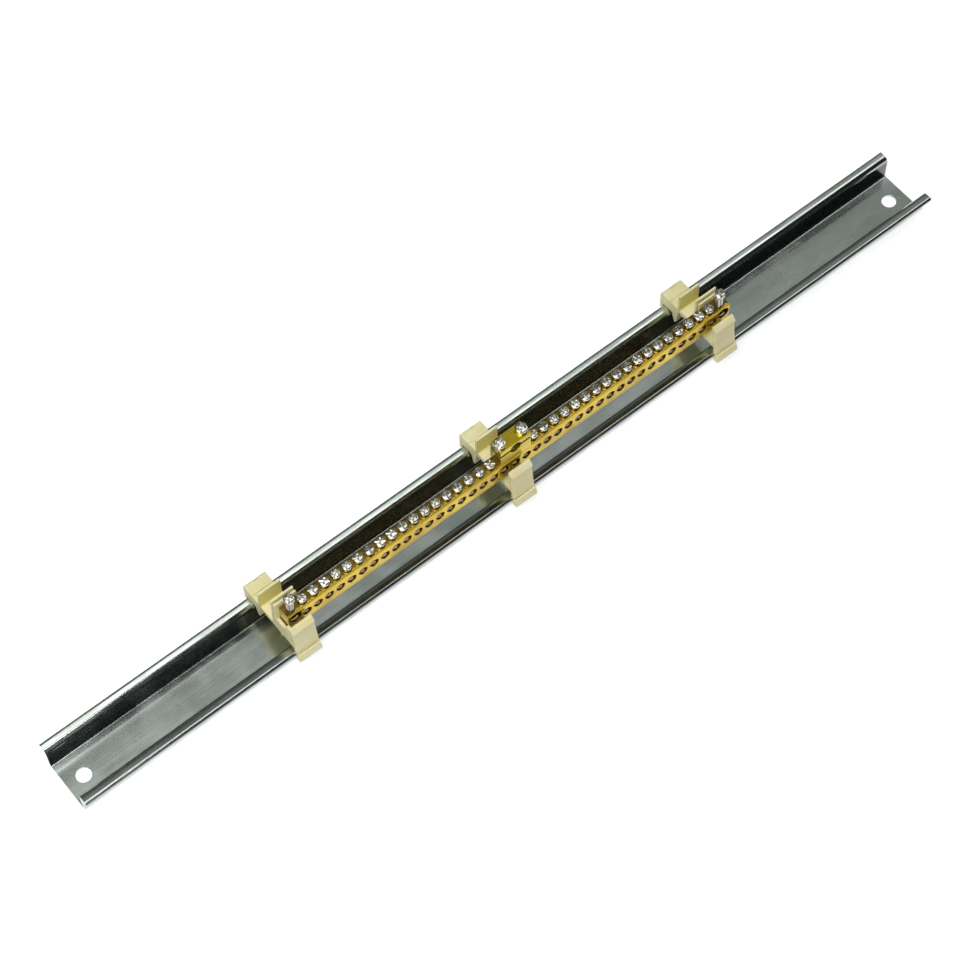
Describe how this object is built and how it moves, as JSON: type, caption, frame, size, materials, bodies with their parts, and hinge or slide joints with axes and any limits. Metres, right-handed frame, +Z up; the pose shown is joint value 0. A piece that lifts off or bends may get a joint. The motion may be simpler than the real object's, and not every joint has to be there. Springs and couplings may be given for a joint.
{
  "type": "earth terminal bar",
  "caption": "Drilled brass earth bar with terminal screws and a central conductor clamp, held by moulded push-on clips on a top hat mounting rail.",
  "frame": {"origin": "midpoint between the rail's two fixing holes, on the underside of the rail's web", "axes": "+X along the rail, +Y across it away from the bar, +Z up from the mounting surface through the open side of the rail"},
  "size_m": [0.477, 0.0403, 0.0514],
  "materials": {
    "zinc_steel": "satin zinc plate",
    "moulding": "moulded matte",
    "brass": "machined, lightly tarnished",
    "plated_screw": "bright nickel plate"
  },
  "bodies": {
    "root": {"din_rail": "zinc_steel", "support_left": "moulding", "support_middle": "moulding", "support_right": "moulding", "terminal_bar": "brass", "lower_jaw": "brass", "upper_jaw": "brass", "jaw_fixing_screw": "plated_screw", "clamp_screw_left": "plated_screw", "clamp_screw_right": "plated_screw", "end_screw_left": "plated_screw", "end_screw_right": "plated_screw", "terminal_screw_01": "plated_screw", "terminal_screw_02": "plated_screw", "terminal_screw_03": "plated_screw", "terminal_screw_04": "plated_screw", "terminal_screw_05": "plated_screw", "terminal_screw_06": "plated_screw", "terminal_screw_07": "plated_screw", "terminal_screw_08": "plated_screw", "terminal_screw_09": "plated_screw", "terminal_screw_10": "plated_screw", "terminal_screw_11": "plated_screw", "terminal_screw_12": "plated_screw", "terminal_screw_13": "plated_screw", "terminal_screw_14": "plated_screw", "terminal_screw_15": "plated_screw", "terminal_screw_16": "plated_screw", "terminal_screw_17": "plated_screw", "terminal_screw_18": "plated_screw", "terminal_screw_19": "plated_screw", "terminal_screw_20": "plated_screw", "terminal_screw_21": "plated_screw", "terminal_screw_22": "plated_screw", "terminal_screw_23": "plated_screw", "terminal_screw_24": "plated_screw", "terminal_screw_25": "plated_screw", "terminal_screw_26": "plated_screw", "terminal_screw_27": "plated_screw", "terminal_screw_28": "plated_screw", "terminal_screw_29": "plated_screw", "terminal_screw_30": "plated_screw", "terminal_screw_31": "plated_screw", "terminal_screw_32": "plated_screw", "terminal_screw_33": "plated_screw", "terminal_screw_34": "plated_screw", "terminal_screw_35": "plated_screw", "terminal_screw_36": "plated_screw"}
  },
  "joints": []
}
